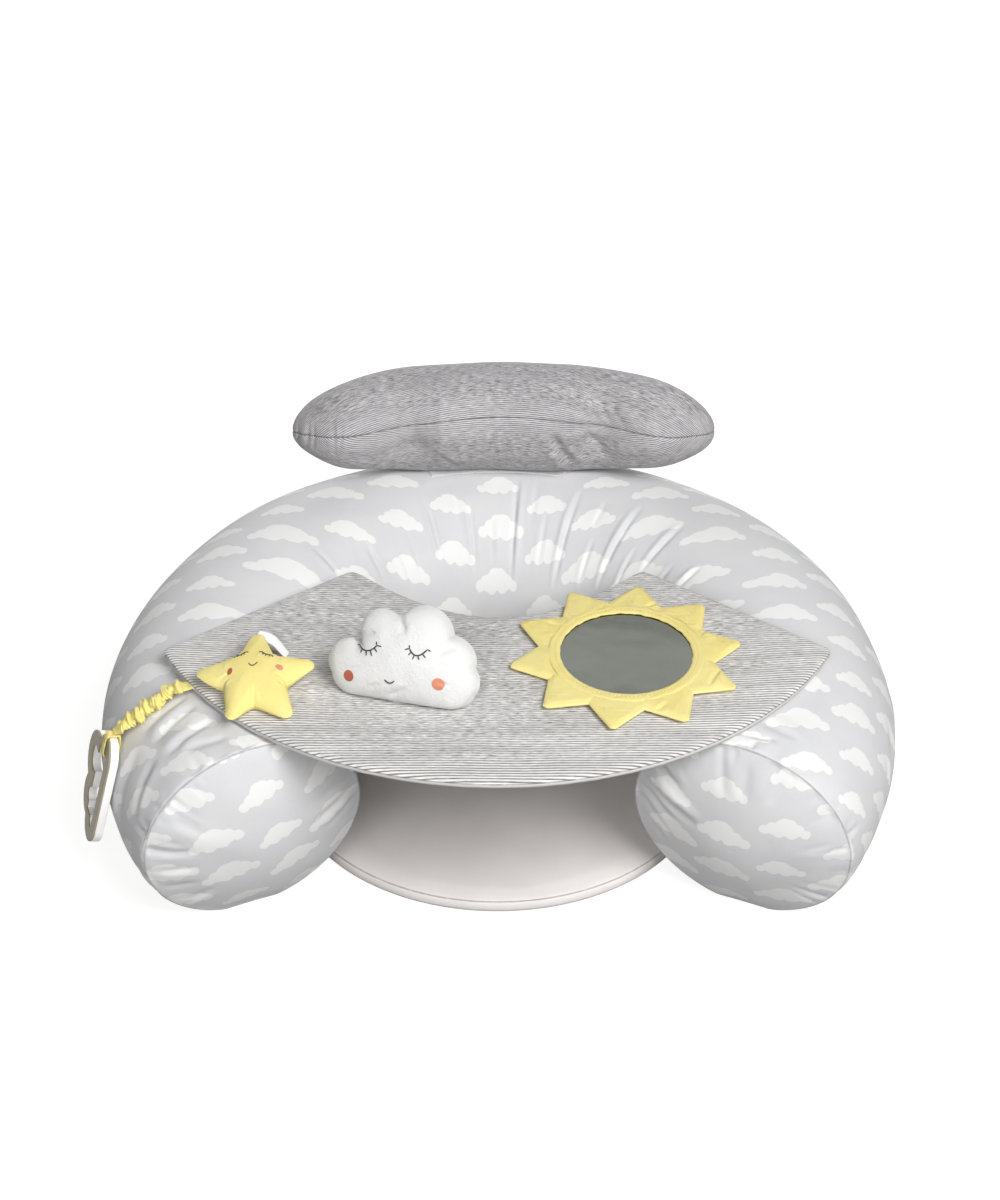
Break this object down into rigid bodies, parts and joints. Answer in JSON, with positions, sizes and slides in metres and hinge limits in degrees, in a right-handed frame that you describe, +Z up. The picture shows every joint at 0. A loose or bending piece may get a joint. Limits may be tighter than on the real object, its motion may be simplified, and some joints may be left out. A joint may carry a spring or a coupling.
{
  "type": "baby floor seat",
  "caption": "Padded C-shaped baby floor seat with an air-filled ring in a zipped cloth cover, lift-off play tray with soft toys and hanging teether, and lift-off head pillow.",
  "frame": {"origin": "on the floor, at the centre of the ring", "axes": "+Z up, +X to the right as seen from the open front, +Y towards the back of the ring; the arms point to -Y"},
  "size_m": [0.6656, 0.5372, 0.2901],
  "materials": {
    "cover_print": "matte woven cotton, pale grey with a white cloud print",
    "cover_plain": "matte plain woven cotton, warm grey",
    "mat_cloth": "matte plain woven cotton, warm grey",
    "tray_stripe": "jersey with fine dark and white stripes",
    "tray_plain": "matte plain woven cotton, grey",
    "pillow_stripe": "marled jersey with fine dark and white stripes",
    "air_film": "soft film with welded seams",
    "valve_plastic": "soft moulded plastic",
    "padding": "polyester wadding",
    "core_foam": "closed-cell foam sheet",
    "hook_loop_tape": "hook-and-loop tape",
    "zip_tape": "woven zip tape",
    "zip_teeth": "moulded zip teeth",
    "zip_metal": "satin die-cast metal",
    "toy_yellow": "brushed jersey with stitched details",
    "strap_yellow": "gathered jersey over elastic",
    "toy_white": "soft fleece with stitched face",
    "ribbon": "satin ribbon",
    "mirror": "flexible acrylic mirror",
    "teether_white": "smooth food-safe plastic",
    "teether_taupe": "matt silicone face"
  },
  "bodies": {
    "ring": {"ring_cover_top": "cover_print", "ring_cover_base": "cover_plain", "end_panel_left": "cover_print", "end_panel_right": "cover_print", "air_ring_upper": "air_film", "air_ring_lower": "air_film", "air_end_left": "air_film", "air_end_right": "air_film", "air_valve": "valve_plastic", "valve_plug": "valve_plastic", "mat_cover": "mat_cloth", "mat_padding": "padding", "mat_base": "mat_cloth", "zip_tape_upper": "zip_tape", "zip_tape_lower": "zip_tape", "zip_teeth_upper": "zip_teeth", "zip_teeth_lower": "zip_teeth", "zip_stops": "zip_metal", "tray_loop_left": "hook_loop_tape", "tray_loop_right": "hook_loop_tape", "pillow_loop": "hook_loop_tape"},
    "tray": {"tray_cover_top": "tray_stripe", "tray_core": "core_foam", "tray_cover_base": "tray_plain", "tray_hook_left": "hook_loop_tape", "tray_hook_right": "hook_loop_tape", "star_loop": "hook_loop_tape", "cloud_loop": "hook_loop_tape", "sun_loop": "hook_loop_tape", "strap_tab": "strap_yellow"},
    "star": {"star_front": "toy_yellow", "star_back": "toy_yellow", "star_filling": "padding", "star_hook": "hook_loop_tape", "star_ribbon": "ribbon"},
    "cloud": {"cloud_front": "toy_white", "cloud_back": "toy_white", "cloud_filling": "padding", "cloud_hook": "hook_loop_tape"},
    "sun": {"sun_back": "toy_yellow", "sun_padding": "padding", "sun_front": "toy_yellow", "mirror_disc": "mirror", "mirror_binding": "toy_yellow", "sun_hook": "hook_loop_tape"},
    "strap": {"strap_cover": "strap_yellow"},
    "teether": {"strap_loop": "strap_yellow", "teether_body": "teether_white", "teether_face": "teether_taupe"},
    "pillow": {"pillow_top": "pillow_stripe", "pillow_base": "pillow_stripe", "pillow_filling": "padding", "pillow_hook": "hook_loop_tape"},
    "zip_slider": {"zip_slider": "zip_metal"},
    "zip_pull": {"zip_pull": "zip_metal"}
  },
  "joints": [
    {"name": "tray_lift", "type": "slide", "parent": "ring", "child": "tray", "axis": [0, 0, 1], "range_m": [0, 0.15]},
    {"name": "pillow_lift", "type": "slide", "parent": "ring", "child": "pillow", "axis": [0, 0, 1], "range_m": [0, 0.12]},
    {"name": "star_lift", "type": "slide", "parent": "tray", "child": "star", "axis": [0, -0.0526, 0.9986], "range_m": [0, 0.08]},
    {"name": "cloud_lift", "type": "slide", "parent": "tray", "child": "cloud", "axis": [0, -0.0526, 0.9986], "range_m": [0, 0.08]},
    {"name": "sun_lift", "type": "slide", "parent": "tray", "child": "sun", "axis": [0, -0.0526, 0.9986], "range_m": [0, 0.08]},
    {"name": "strap_swing", "type": "hinge", "parent": "tray", "child": "strap", "pos_m": [-0.24432, -0.08175, 0.18325], "axis": [-0.3173, 0.9483, 0], "range_deg": [0, 60]},
    {"name": "teether_swing", "type": "hinge", "parent": "strap", "child": "teether", "pos_m": [-0.30041, -0.10052, 0.15267], "axis": [-0.3173, 0.9483, 0], "range_deg": [0, 70]},
    {"name": "zip_slide", "type": "hinge", "parent": "ring", "child": "zip_slider", "pos_m": [0, 0, 0.046], "axis": [0, 0, -1], "range_deg": [0, 57]},
    {"name": "zip_pull_swing", "type": "hinge", "parent": "zip_slider", "child": "zip_pull", "pos_m": [-0.15755, 0.28874, 0.04235], "axis": [-0.2395, 0.4389, 0.866], "range_deg": [0, 150]}
  ]
}
